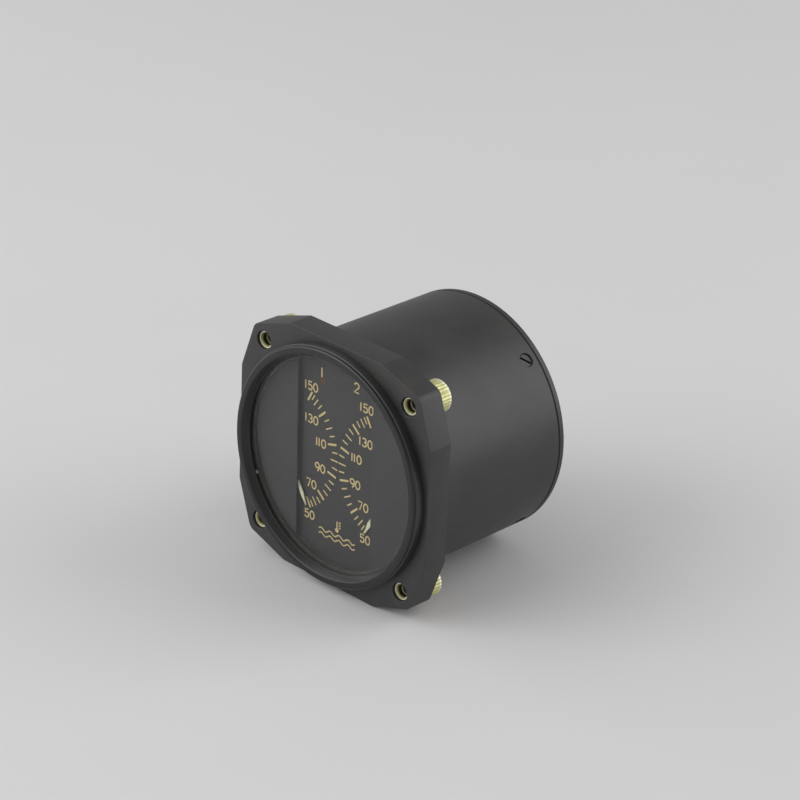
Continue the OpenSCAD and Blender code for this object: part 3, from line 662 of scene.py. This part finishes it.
class GAUGE_OT_inserts(bpy.types.Operator):
    """Turns and knurls the four threaded panel inserts"""

    bl_idname = "gauge.inserts"
    bl_label = "Panel inserts"
    bl_options = {"REGISTER", "UNDO"}

    def execute(self, context):
        sizes = context.scene.gauge_sizes
        insert = self.turned(sizes)
        combine(insert, self.knurl(sizes), "UNION")
        inserts = copy_to_corners(insert, sizes.bolt_span / 2, "panel_inserts_threaded")
        finish_piece(
            inserts,
            "panel_inserts_threaded",
            HOUSING,
            passivated_brass(context.scene.gauge_colours, sizes.bolt_span / 2),
            ["panel_inserts"],
        )
        return {"FINISHED"}

    def turned(self, sizes):
        """Shank and core of the head, with a countersink, a short plain bore and the thread."""
        bore, shank, core = sizes.bolt_bore / 2, 2.79 * MM, sizes.head_diameter / 2 - 0.35 * MM
        plain, countersink = bore + 0.2 * MM, 2.5 * MM
        pitch, depth = 0.794 * MM, 0.3 * MM
        first = INSERT_FRONT + THREAD_DEPTH
        turns = int((HEAD_REAR - 0.5 * MM - first) / pitch)
        thread = []
        for k in reversed(range(turns)):
            thread += [(bore, first + (k + 0.9) * pitch), (bore + depth, first + (k + 0.5) * pitch)]
        outline = [
            (shank, INSERT_FRONT + 0.15 * MM),
            (shank, HEAD_FRONT),
            (core, HEAD_FRONT),
            (core, HEAD_REAR - 0.6 * MM),
            (core - 0.6 * MM, HEAD_REAR),
            (bore + 0.4 * MM, HEAD_REAR),
            *thread,
            (bore, first),
            (plain, first - 0.3 * MM),
            (plain, INSERT_FRONT + 0.85 * MM),
            (countersink, INSERT_FRONT),
            (shank - 0.08 * MM, INSERT_FRONT),
        ]
        return lathe("insert", outline, sides=64)

    def knurl(self, sizes):
        """A straight knurl: alternate corners of a many-sided bar drawn in."""
        teeth, root = 30, 0.97
        radius, length = sizes.head_diameter / 2, HEAD_REAR - HEAD_FRONT
        clear_selection()
        bpy.ops.mesh.primitive_cylinder_add(
            vertices=2 * teeth,
            radius=radius,
            depth=length,
            location=(0, HEAD_FRONT + length / 2, 0),
            rotation=(pi / 2, 0, 0),
        )
        knurl = bpy.context.object
        bpy.ops.object.transform_apply(location=True, rotation=True, scale=True)
        bpy.ops.object.mode_set(mode="EDIT")
        bpy.ops.mesh.select_all(action="DESELECT")
        shape = bmesh.from_edit_mesh(knurl.data)
        for vertex in shape.verts:
            place = atan2(vertex.co.z, vertex.co.x) / pi * teeth
            vertex.select_set(round(place) % 2 == 1)
        bmesh.update_edit_mesh(knurl.data)
        bpy.ops.transform.resize(value=(root, 1, root), center_override=(0, 0, 0))
        bpy.ops.object.mode_set(mode="OBJECT")
        outside, inside = radius + 0.1 * MM, 4 * MM
        outline = [
            (outside - 0.4 * MM, HEAD_FRONT - 0.1 * MM),
            (outside, HEAD_FRONT + 0.3 * MM),
            (outside, HEAD_REAR - 0.75 * MM),
            (radius - 0.65 * MM, HEAD_REAR),
            (3 * MM, HEAD_REAR + 0.001 * MM),
        ]
        combine(knurl, lathe("chamfer", outline, sides=96, solid=True), "INTERSECT")
        outline = [(inside, HEAD_FRONT - MM), (inside, HEAD_REAR + MM)]
        combine(knurl, lathe("bore", outline, sides=64, solid=True), "DIFFERENCE")
        return knurl


def passivated_brass(colours, half_span):
    """Brass with a passivated skin: yellow-green, pale on worn edges, with painted shade in the
    bore and a painted highlight at the start of the thread.
    """
    material = new_finish(
        "passivated_brass",
        (colours.passivated, shade(colours.passivated, 0.75)),
        patch=1.6 * MM,
        rough=(0.36, 0.5),
        bump=(0.25 * MM, 0.006 * MM),
        metallic=0.5,
    )
    place = add_node(material, "ShaderNodeTexCoord").outputs["Object"]
    folded = add_node(material, "ShaderNodeVectorMath", {0: place}, operation="ABSOLUTE")
    radius = distance_to_axis(material, folded.outputs["Vector"], half_span, half_span)
    depth = add_node(material, "ShaderNodeSeparateXYZ", {"Vector": place}).outputs["Y"]
    # Painted shade: darker inward of the countersink, down the bore
    paint_over(material, hex_colour("454129"), radius, start=2.4 * MM, end=1.98 * MM)
    # Pale bands: the worn rim of the mouth, a painted highlight on the first turn of the thread,
    # and the worn rear edge of the head
    for value, middle, reach, pale in (
        (radius, 2.66 * MM, 0.14 * MM, "f0efdc"),
        (depth, INSERT_FRONT + THREAD_DEPTH - 0.15 * MM, 0.16 * MM, "b3b096"),
        (depth, HEAD_REAR - 1.0 * MM, 0.3 * MM, "dfdfc6"),
    ):
        band = add_node(
            material, "ShaderNodeMath", {0: value, 1: middle, 2: reach}, operation="COMPARE"
        )
        paint_over(material, hex_colour(pale), band.outputs["Value"], start=0, end=1)
    return material


class GAUGE_OT_bezel(bpy.types.Operator):
    """Turns the bezel ring that holds the glass, with painted light along its foot"""

    bl_idname = "gauge.bezel"
    bl_label = "Bezel ring"
    bl_options = {"REGISTER", "UNDO"}

    def execute(self, context):
        window = context.scene.gauge_sizes.window_radius
        foot, foot_depth = window + 0.15 * MM, GLASS_FRONT - 0.02 * MM
        slope = [
            (RING_RADIUS - 0.8 * MM, RING_FACE),
            (window + 1.3 * MM, RING_FACE),
            (window, SEAL_FRONT - 0.15 * MM),
            (window, GLASS_FRONT - 0.1 * MM),
        ]
        outline = [
            (window, foot_depth),
            (foot, foot_depth),
            (foot, SEAL_FRONT),
            (RING_RADIUS, SEAL_FRONT),
            (RING_RADIUS, LIP_FRONT + 0.2 * MM),
            (RING_EDGE, LIP_FRONT),
            *reversed(quarter_round(RING_EDGE, RING_FACE, 0.6 * MM)),
            *rounded(slope, 0.25 * MM),
        ]
        ring = lathe("bezel", outline, sides=384)
        enamel = self.stoved_enamel(context.scene.gauge_colours, window)
        finish_piece(ring, "bezel_ring_turned", HOUSING, enamel, ["bezel_ring"])
        return {"FINISHED"}

    def stoved_enamel(self, colours, window):
        """Black enamel, sprayed and stoved: smooth and softly glossy, lightened at the glass with
        painted light.
        """
        enamel = new_finish(
            "stoved_enamel",
            (colours.enamel, shade(colours.enamel, 1.2)),
            patch=6 * MM,
            rough=(0.28, 0.36),
            bump=(1.5 * MM, 0.001 * MM),
        )
        place = add_node(enamel, "ShaderNodeTexCoord").outputs["Object"]
        radius = distance_to_axis(enamel, place, 0, 0)
        # Painted light: a paler band at the foot of the ring by the glass, where it lies in shade
        painted_light = hex_colour("45433e")
        paint_over(enamel, painted_light, radius, start=window + 0.12 * MM, end=window + 0.03 * MM)
        return enamel


class GAUGE_OT_glass(bpy.types.Operator):
    """Makes the window glass clear and its rubber ring matt"""

    bl_idname = "gauge.glass"
    bl_label = "Glass"
    bl_options = {"REGISTER", "UNDO"}

    def execute(self, context):
        dress(window_glass(), "glass")
        # Rubber, moulded and aged: dull, and greyed in places
        rubber = new_finish(
            "aged_rubber",
            (hex_colour("1b1b1b"), hex_colour("232220")),
            patch=3 * MM,
            rough=(0.7, 0.85),
            bump=(0.3 * MM, 0.01 * MM),
        )
        dress(rubber, "glass_seal", "cover_seal")
        return {"FINISHED"}


def window_glass():
    """Plate glass, polished and bloomed, so it reflects little. Light reaches the dial unbent."""
    material = bpy.data.materials.new("plate_glass")
    material.use_nodes = True
    tree = material.node_tree
    shader = tree.nodes["Principled BSDF"]
    shader.inputs["Base Color"].default_value = hex_colour("f4f5f4")
    shader.inputs["Transmission Weight"].default_value = 1
    shader.inputs["Roughness"].default_value = 0
    shader.inputs["IOR"].default_value = 1.5
    shader.inputs["Specular Tint"].default_value = (0.3, 0.3, 0.3, 1)
    rays = add_node(material, "ShaderNodeLightPath")
    clear = add_node(material, "ShaderNodeBsdfTransparent", {"Color": hex_colour("f1f2f1")})
    light = add_node(
        material,
        "ShaderNodeMath",
        {0: rays.outputs["Is Shadow Ray"], 1: rays.outputs["Is Diffuse Ray"]},
        operation="MAXIMUM",
    )
    mixed = add_node(
        material,
        "ShaderNodeMixShader",
        {0: light.outputs["Value"], 1: shader.outputs[0], 2: clear.outputs[0]},
    )
    tree.links.new(mixed.outputs[0], tree.nodes["Material Output"].inputs["Surface"])
    return material


class GAUGE_OT_dial(bpy.types.Operator):
    """Paints the dial, the masks and the scale marks, and turns the spacer ring behind the glass"""

    bl_idname = "gauge.dial"
    bl_label = "Dial and masks"
    bl_options = {"REGISTER", "UNDO"}

    def execute(self, context):
        colours = context.scene.gauge_colours
        # Black lacquer, sprayed matt on sheet metal: no shine, faintly clouded with age
        dial, ring, mask = (
            new_finish(name, (colour, shade(colour, pale)), patch * MM, rough, grain)
            for name, colour, pale, patch, rough, grain in (
                ("matt_dial_paint", colours.dial_black, 1.12, 5, (0.75, 0.85), LACQUER_GRAIN),
                ("matt_ring_paint", colours.ring_black, 1.12, 5, (0.7, 0.8), LACQUER_GRAIN),
                ("matt_mask_paint", colours.mask_black, 1.15, 7, (0.62, 0.75), LACQUER_GRAIN),
            )
        )
        # A smear of old red lacquer on the dial, and a painted highlight: a near-white glint on the
        # ring
        for finish, x, z, colour, edge, core in (
            (dial, -7.9, 25.0, "5a2e0c", 1.5, 0.8),
            (ring, -33.0, -14.9, "fff8e8", 0.75, 0.5),
        ):
            place = add_node(finish, "ShaderNodeTexCoord").outputs["Object"]
            distance = distance_to_axis(finish, place, x * MM, z * MM)
            paint_over(finish, hex_colour(colour), distance, edge * MM, core * MM)
        spacer = self.turn_spacer(context.scene.gauge_sizes.window_radius)
        replaced = ["front_spacer_ring"]
        finish_piece(spacer, "front_spacer_turned", HOUSING, ring, replaced)
        dress(dial, "dial")
        dress(ring, "rear_spacer_ring")
        dress(mask, "left_mask", "right_mask")
        dress(luminous_paint("figure_paint", colours.figures), "scale_marks")
        return {"FINISHED"}

    def turn_spacer(self, window):
        """The front spacer ring, a hair behind the glass, with its inner edge broken."""
        bore, outside = window - MM, STACK_RADIUS - 0.1 * MM
        front, rear = bounds_of("front_spacer_ring")
        face = front.y + 0.03 * MM
        outline = [
            (outside, face),
            (outside, rear.y),
            (bore, rear.y),
            (bore, front.y + 0.2 * MM),
            (bore + 0.17 * MM, face),
        ]
        return lathe("front_spacer", outline, sides=192)


# Size and height of the grain of the black lacquer
LACQUER_GRAIN = (0.6 * MM, 0.0004 * MM)


def luminous_paint(name, colour):
    """Old luminous paint, brushed on thick: matt and crumbly, browned in spots."""
    material = new_finish(
        name,
        (colour, shade(colour, 0.84)),
        patch=0.9 * MM,
        rough=(0.7, 0.85),
        bump=(0.1 * MM, 0.006 * MM),
    )
    return add_specks(material, shade(colour, 0.5), size=0.35 * MM, share=0.32, seed=0.02)


def arc(x, z, wide, tall, start, end):
    """Points along an oval, every 15 degrees."""
    steps = max(2, round(abs(end - start) / 15))
    angles = [radians(start + (end - start) * k / steps) for k in range(steps + 1)]
    return [(x + wide * cos(a), z + tall * sin(a)) for a in angles]


# Strokes of each figure, for a height of 1, and how far the next one stands from it
FIGURES = {
    "0": ([arc(0.33, 0.5, 0.33, 0.5, 0, 360)], 0.87),
    "1": ([[(0.0, 0.0), (0.0, 1.0)]], 0.40),
    "2": ([arc(0.32, 0.70, 0.30, 0.30, 165, -25) + [(0.0, 0.0), (0.64, 0.0)]], 0.87),
    "3": ([arc(0.30, 0.75, 0.27, 0.25, 150, -90), arc(0.30, 0.26, 0.33, 0.26, 90, -155)], 0.87),
    "5": (
        [[(0.60, 1.0), (0.10, 1.0), (0.07, 0.56)] + arc(0.31, 0.31, 0.33, 0.31, 125, -150)],
        0.87,
    ),
    "7": ([[(0.0, 1.0), (0.63, 1.0), (0.25, 0.0)]], 0.87),
    "9": (
        [
            arc(0.33, 0.69, 0.32, 0.31, 0, 360),
            [(0.65, 0.69)] + arc(0.27, 0.60, 0.38, 0.60, -10, -80),
        ],
        0.87,
    ),
}

# Each number of the dial and the place of its middle on the dial before its turn, in millimetres
NUMBERS = (
    ("150", -12.3, 21.8),
    ("130", -12.0, 10.7),
    ("110", -7.7, 4.0),
    ("90", -8.0, -4.7),
    ("70", -11.8, -11.5),
    ("50", -12.4, -22.4),
    ("150", 11.9, 22.3),
    ("130", 11.8, 10.8),
    ("110", 7.9, 4.1),
    ("90", 7.5, -4.7),
    ("70", 11.2, -11.2),
    ("50", 12.35, -22.0),
)
SIDE_NUMBERS = (("1", -7.9, 27.9), ("2", 7.3, 27.8))


def number_strokes(text, x, z, height):
    """Strokes of a number with its middle at x, z in millimetres."""
    x, z = x * MM, z * MM
    strokes, pen = [], 0
    for figure in text:
        shapes, advance = FIGURES[figure]
        strokes += [[(pen + px, pz) for px, pz in shape] for shape in shapes]
        pen += advance
    width = max(px for stroke in strokes for px, _ in stroke)
    return [
        [(x + (px - width / 2) * height, z + (pz - 0.5) * height) for px, pz in stroke]
        for stroke in strokes
    ]


def painted_strokes(name, strokes, width):
    """Strokes of paint on the dial: each a round line, pressed flat and turned with the dial."""
    clear_selection()
    curve = bpy.data.curves.new(name, "CURVE")
    curve.dimensions = "3D"
    curve.bevel_depth = width / 2
    curve.bevel_resolution = 3
    curve.use_fill_caps = True
    for stroke in strokes:
        closed = (Vector(stroke[0]) - Vector(stroke[-1])).length < NEAR
        points = stroke[:-1] if closed else stroke
        spline = curve.splines.new("POLY")
        spline.points.add(len(points) - 1)
        for point, (x, z) in zip(spline.points, points):
            point.co = (x, 0, z, 1)
        spline.use_cyclic_u = closed
    piece = bpy.data.objects.new(name, curve)
    bpy.context.scene.collection.objects.link(piece)
    select_only(piece)
    bpy.ops.object.convert(target="MESH")
    piece = bpy.context.object
    bpy.ops.object.mode_set(mode="EDIT")
    bpy.ops.mesh.select_all(action="SELECT")
    bpy.ops.transform.resize(value=(1, PAINT / width, 1), center_override=(0, 0, 0))
    bpy.ops.transform.translate(value=(0, DIAL_FRONT, 0))
    bpy.ops.object.mode_set(mode="OBJECT")
    piece.rotation_euler.y = -DIAL_TURN
    return piece


class GAUGE_OT_figures(bpy.types.Operator):
    """Paints the numbers on the dial, and plain signs for a liquid and its temperature"""

    bl_idname = "gauge.figures"
    bl_label = "Dial figures"
    bl_options = {"REGISTER", "UNDO"}

    def execute(self, context):
        sizes = context.scene.gauge_sizes
        stroke, height = sizes.stroke, sizes.figure_height
        # The side numbers are a little larger and bolder, and the signs a little finer
        numbers, sides = (
            painted_strokes(
                name, [s for row in rows for s in number_strokes(*row, scale * height)], width
            )
            for name, rows, scale, width in (
                ("numbers", NUMBERS, 1, stroke),
                ("sides", SIDE_NUMBERS, 1.15, 1.1 * stroke),
            )
        )
        numbers = join([numbers, sides], "numbers")
        signs = painted_strokes("signs", self.waves() + self.thermometer(), 0.9 * stroke)
        paint = luminous_paint("number_paint", context.scene.gauge_colours.figures)
        finish_piece(numbers, "dial_numbers", HOUSING, paint, smooth=radians(50))
        finish_piece(signs, "dial_signs", HOUSING, paint, smooth=radians(50))
        return {"FINISHED"}

    def waves(self):
        """Two wavy lines, for a liquid, each of four waves 4 mm long and 1 mm high."""
        steps, step = 20, 0.2
        lines = []
        for z in (-25.5, -27.2):
            turns = [(k, 2 * pi * k / steps) for k in range(4 * steps + 1)]
            lines.append([((-8 + step * k) * MM, (z + 0.5 * sin(turn)) * MM) for k, turn in turns])
        return lines

    def thermometer(self):
        """A stem with a filled bulb, and three short marks beside it."""
        stem = [(0, -20.4), (0, -23.2)]
        bulb = [arc(0, -23.5, radius, radius, 0, 360) for radius in (0.55, 0.2)]
        marks = [[(0.8, z), (1.6, z)] for z in (-20.6, -21.5, -22.4)]
        return [[(x * MM, z * MM) for x, z in line] for line in (stem, *bulb, *marks)]


class GAUGE_OT_needles(bpy.types.Operator):
    """Paints the needles: a cream lance on a black stem"""

    bl_idname = "gauge.needles"
    bl_label = "Needles"
    bl_options = {"REGISTER", "UNDO"}

    def execute(self, context):
        for name, pivot in PIVOTS.items():
            material = luminous_paint(name + "_paint", context.scene.gauge_colours.needle)
            self.blacken_stem(material, pivot)
            dress(material, name)
        return {"FINISHED"}

    def blacken_stem(self, material, pivot):
        """Black as far as the foot of the lance, measured from the pivot."""
        place = add_node(material, "ShaderNodeTexCoord").outputs["Object"]
        reach = distance_to_axis(material, place, pivot.x, pivot.z)
        paint_over(material, hex_colour("1f1f20"), reach, start=13.25 * MM, end=13.1 * MM)


class GAUGE_OT_cover_screws(bpy.types.Operator):
    """Turns the four flush screws of the rear cover and cuts their slots"""

    bl_idname = "gauge.cover_screws"
    bl_label = "Cover screws"
    bl_options = {"REGISTER", "UNDO"}

    def execute(self, context):
        top = CASE_RADIUS - 0.5 * MM
        outline = [(radius * MM, top + height * MM) for radius, height in SCREW]
        first = lathe("screw", outline, sides=64, solid=True)
        self.cut_slot(first, top)
        screws = copy_to_cover_screws(first, "cover_screws_slotted")
        # Steel, blackened in hot oil: dark with a soft sheen, rubbed grey in places
        steel = new_finish(
            "oil_blackened_steel",
            (hex_colour("3b3b3b"), hex_colour("4a4845")),
            patch=0.8 * MM,
            rough=(0.32, 0.5),
            bump=(0.15 * MM, 0.005 * MM),
            metallic=0.85,
        )
        replaced = ["cover_screws"]
        finish_piece(screws, "cover_screws_slotted", HOUSING, steel, replaced)
        return {"FINISHED"}

    def cut_slot(self, screw, top):
        """A straight slot across the head, at 45 degrees."""
        width, height, length = 0.8 * MM, 1.2 * MM, 9 * MM
        clear_selection()
        bpy.ops.mesh.primitive_cube_add(
            size=1,
            location=(0, top, 0),
            rotation=(0, radians(45), 0),
            scale=(width, height, length),
        )
        slot = bpy.context.object
        bpy.ops.object.transform_apply(location=True, rotation=True, scale=True)
        combine(screw, slot, "DIFFERENCE")


class GAUGE_OT_works(bpy.types.Operator):
    """Finishes the connector and all that is inside the case"""

    bl_idname = "gauge.works"
    bl_label = "Works and connector"
    bl_options = {"REGISTER", "UNDO"}

    def execute(self, context):
        for name, colours, patch, rough, (grain, height), metallic, nodes in WORKS_FINISHES:
            pair = tuple(hex_colour(c) for c in colours)
            bump = (grain * MM, height * MM)
            dress(new_finish(name, pair, patch * MM, rough, bump, metallic), *nodes)
        return {"FINISHED"}


# Name, two colours, size of the clouds in mm, roughness, size and height of the grain in mm,
# metallic, and the nodes that have it
WORKS_FINISHES = (
    # Machine steel, turned and slotted: grey with fine turning marks
    (
        "turned_steel", ("9b9c9e", "84858a"), 2.0, (0.28, 0.42), (0.2, 0.004), 1.0,
        [
            "dial_screws", "tie_screws", "board_screws", "connector_screws",
            "left_staff", "right_staff",
        ],
    ),
    # Sheet and bar brass, lacquered: yellow, browned at the edges
    (
        "lacquered_brass", ("c9a45a", "ab8542"), 6.0, (0.25, 0.4), (0.3, 0.004), 1.0,
        [
            "stop_pins", "left_balance_weight", "right_balance_weight",
            "left_jewel_screw", "right_jewel_screw", "jewel_locknuts",
            "dial_posts", "front_plate", "rear_plate", "solder_turrets",
        ],
    ),
    # Cast magnet alloy, ground: dark grey and grainy
    (
        "ground_magnet_alloy", ("56585b", "44464a"), 1.5, (0.4, 0.6), (0.2, 0.02), 0.9,
        [
            "left_rotor_magnet", "right_rotor_magnet",
            "left_pull_off_magnet", "right_pull_off_magnet",
        ],
    ),
    # Copper, drawn: bright with brown tarnish
    (
        "drawn_copper", ("c9825a", "9a5b3a"), 3.0, (0.25, 0.45), (0.3, 0.004), 1.0,
        ["left_damping_cup", "right_damping_cup"],
    ),
    # Soft iron laminations, stacked: dull grey
    (
        "stacked_iron", ("76777a", "5f6064"), 2.0, (0.4, 0.55), (0.35, 0.02), 0.9,
        ["left_stator", "right_stator"],
    ),
    # Copper wire with enamel, layer wound: amber to brown
    (
        "enamelled_wire", ("9a5426", "74381a"), 1.0, (0.25, 0.4), (0.18, 0.05), 0.3,
        ["left_coils", "right_coils", "resistor_windings"],
    ),
    # Synthetic ruby, polished: deep red
    (
        "polished_jewel", ("a3263c", "8a1830"), 1.0, (0.05, 0.1), (0.5, 0.001), 0.0,
        ["left_front_jewel", "right_front_jewel"],
    ),
    # Aluminium, machined and clear passivated: pale grey
    (
        "machined_aluminium", ("b9babb", "a2a3a6"), 5.0, (0.3, 0.42), (0.25, 0.004), 1.0,
        ["front_spacers", "rear_spacers", "board_posts", "connector_shell"],
    ),
    # Paper laminate, punched: brown with a woven look
    (
        "paper_laminate", ("7a4a2a", "633a20"), 4.0, (0.35, 0.5), (0.4, 0.01), 0.0,
        ["terminal_board"],
    ),
    # Urea plastic, moulded: cream and slightly glossy
    (
        "cream_plastic", ("d8cfb4", "c7bc9c"), 5.0, (0.3, 0.45), (0.6, 0.004), 0.0,
        ["resistor_spools"],
    ),
    # Cotton sleeving, varnished: red-brown with a fine weave
    (
        "varnished_sleeving", ("8c3a2e", "6f2c22"), 0.8, (0.45, 0.6), (0.12, 0.03), 0.0,
        ["coil_leads", "connector_leads"],
    ),
    # Mica-filled plastic, moulded: dark green
    (
        "green_moulding", ("22332b", "1b2822"), 3.0, (0.35, 0.5), (0.5, 0.005), 0.0,
        ["connector_insert"],
    ),
    # Silver plate on brass: pale and soft with grey tarnish
    (
        "tarnished_silver", ("d0cdc6", "aaa69c"), 1.5, (0.2, 0.35), (0.2, 0.002), 1.0,
        ["connector_pins"],
    ),
)


class GAUGE_PT_panel(bpy.types.Panel):
    """Lists the steps that build the gauge"""

    bl_idname = "GAUGE_PT_panel"
    bl_label = "Gauge"
    bl_space_type = "VIEW_3D"
    bl_region_type = "UI"
    bl_category = "Gauge"

    def draw(self, context):
        layout = self.layout
        for step in STEPS:
            layout.operator(step.bl_idname)
        for group in (context.scene.gauge_sizes, context.scene.gauge_colours):
            box = layout.box()
            for name in group.__annotations__:
                box.prop(group, name)


STEPS = (
    GAUGE_OT_stage,
    GAUGE_OT_case,
    GAUGE_OT_inserts,
    GAUGE_OT_bezel,
    GAUGE_OT_glass,
    GAUGE_OT_dial,
    GAUGE_OT_figures,
    GAUGE_OT_needles,
    GAUGE_OT_cover_screws,
    GAUGE_OT_works,
)
CLASSES = (GaugeSizes, GaugeColours, *STEPS, GAUGE_PT_panel)


def register():
    for item in CLASSES:
        bpy.utils.register_class(item)
    bpy.types.Scene.gauge_sizes = bpy.props.PointerProperty(type=GaugeSizes)
    bpy.types.Scene.gauge_colours = bpy.props.PointerProperty(type=GaugeColours)


def unregister():
    del bpy.types.Scene.gauge_sizes
    del bpy.types.Scene.gauge_colours
    for item in reversed(CLASSES):
        bpy.utils.unregister_class(item)


def main():
    register()
    for step in STEPS:
        group, name = step.bl_idname.split(".")
        getattr(getattr(bpy.ops, group), name)()


if __name__ == "__main__":
    main()
